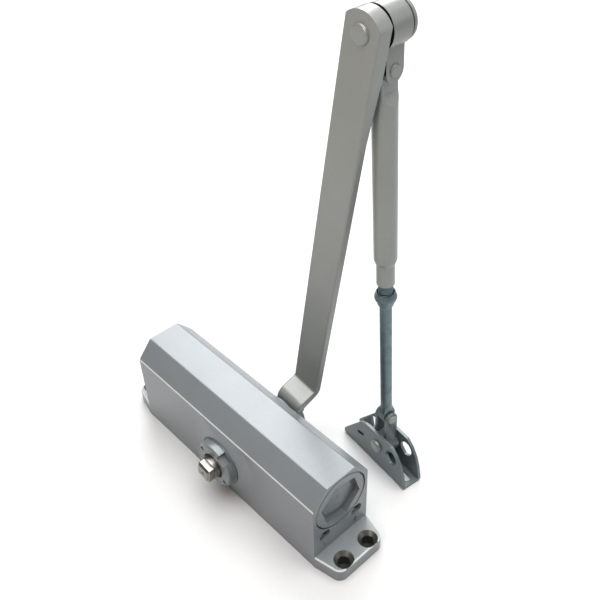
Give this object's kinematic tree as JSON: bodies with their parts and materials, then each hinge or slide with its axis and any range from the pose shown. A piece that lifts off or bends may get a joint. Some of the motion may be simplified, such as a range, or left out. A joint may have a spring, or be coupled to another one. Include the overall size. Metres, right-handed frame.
{
  "type": "door closer",
  "caption": "Surface-mounted rack-and-pinion door closer: faceted box body on two screw feet, folding arm with adjustable forearm, and a folded shoe bracket.",
  "frame": {"origin": "on the mounting face, midway between the four fixing holes of the body", "axes": "+X along the body towards the regulating valves; +Y along the spindle towards the arm; +Z away from the mounting face"},
  "size_m": [0.1944, 0.1123, 0.2901],
  "materials": {
    "silver_paint": "satin",
    "painted_casting": "satin silver paint",
    "bright_steel": "satin",
    "black_steel": "satin",
    "zinc_steel": "satin",
    "bearing_bronze": "satin",
    "piston_aluminium": "machined",
    "seal_rubber": "matte",
    "valve_brass": "machined"
  },
  "bodies": {
    "housing": {"housing": "painted_casting", "valve_end_plug": "painted_casting", "spring_end_plug": "painted_casting", "plug_seals": "seal_rubber", "spindle_bearings": "bearing_bronze", "near_gland_nut": "zinc_steel", "far_gland_nut": "zinc_steel", "spindle_seals": "seal_rubber", "spring_seat": "zinc_steel", "return_spring": "black_steel"},
    "piston": {"rack_piston": "piston_aluminium", "piston_rings": "seal_rubber", "check_valve_ball": "bright_steel", "check_valve_seat": "valve_brass"},
    "spindle_and_arm": {"pinion_spindle": "bright_steel", "main_arm": "silver_paint", "arm_washer": "zinc_steel", "arm_screw": "zinc_steel", "elbow_pin": "silver_paint", "elbow_washer": "zinc_steel"},
    "elbow": {"elbow_link": "silver_paint", "elbow_link_rivet": "silver_paint"},
    "forearm": {"forearm_tube": "silver_paint"},
    "lock_nut": {"lock_nut": "zinc_steel"},
    "rod": {"adjusting_rod": "zinc_steel"},
    "shoe_link": {"shoe_link": "silver_paint", "shoe_link_rivet": "silver_paint"},
    "shoe": {"shoe_bracket": "silver_paint", "shoe_pin": "zinc_steel"},
    "sweep_valve": {"sweep_valve_screw": "zinc_steel", "sweep_valve_seal": "seal_rubber"},
    "latch_valve": {"latch_valve_screw": "zinc_steel", "latch_valve_seal": "seal_rubber"}
  },
  "joints": [
    {"name": "spindle_turn", "type": "hinge", "parent": "housing", "child": "spindle_and_arm", "pos_m": [0.003, 0, 0.028], "axis": [0, 1, 0], "range_deg": [-85, 80]},
    {"name": "piston_slide", "type": "slide", "parent": "housing", "child": "piston", "axis": [1, 0, 0], "range_m": [-0.0115, 0.0115], "deforming": ["return_spring"]},
    {"name": "elbow_turn", "type": "hinge", "parent": "spindle_and_arm", "child": "elbow", "pos_m": [0.04745, 0.05665, 0.28011], "axis": [0, -1, 0], "range_deg": [-12, 170]},
    {"name": "forearm_tilt", "type": "hinge", "parent": "elbow", "child": "forearm", "pos_m": [0.04797, 0.05665, 0.26192], "axis": [-0.9996, 0, -0.0286], "range_deg": [-20, 3]},
    {"name": "rod_turn", "type": "hinge", "parent": "lock_nut", "child": "rod", "pos_m": [0.0537, 0.06356, 0.06212], "axis": [0.0286, 0.0346, -0.999], "range_deg": [-1445, 2165]},
    {"name": "rod_advance", "type": "slide", "parent": "forearm", "child": "lock_nut", "axis": [0.0286, 0.0346, -0.999], "range_m": [-0.005, 0.0075]},
    {"name": "shoe_link_tilt", "type": "hinge", "parent": "rod", "child": "shoe_link", "pos_m": [0.05431, 0.06431, 0.04049], "axis": [0.9912, -0.1305, 0.0239], "range_deg": [-15, 15]},
    {"name": "shoe_turn", "type": "hinge", "parent": "shoe_link", "child": "shoe", "pos_m": [0.05487, 0.06423, 0.017], "axis": [0.1305, 0.9914, 0], "range_deg": [-75, 75]},
    {"name": "sweep_valve_turn", "type": "hinge", "parent": "housing", "child": "sweep_valve", "pos_m": [0.0785, -0.0123, 0.0227], "axis": [1, 0, 0], "range_deg": [-180, 180]},
    {"name": "latch_valve_turn", "type": "hinge", "parent": "housing", "child": "latch_valve", "pos_m": [0.0785, 0.0123, 0.0227], "axis": [1, 0, 0], "range_deg": [-180, 180]}
  ],
  "couplings": [
    {"joint": "piston_slide", "follows": "spindle_turn", "m_per_rad": 0.0075},
    {"joint": "rod_turn", "follows": "rod_advance", "rad_per_m": 5026.5}
  ]
}
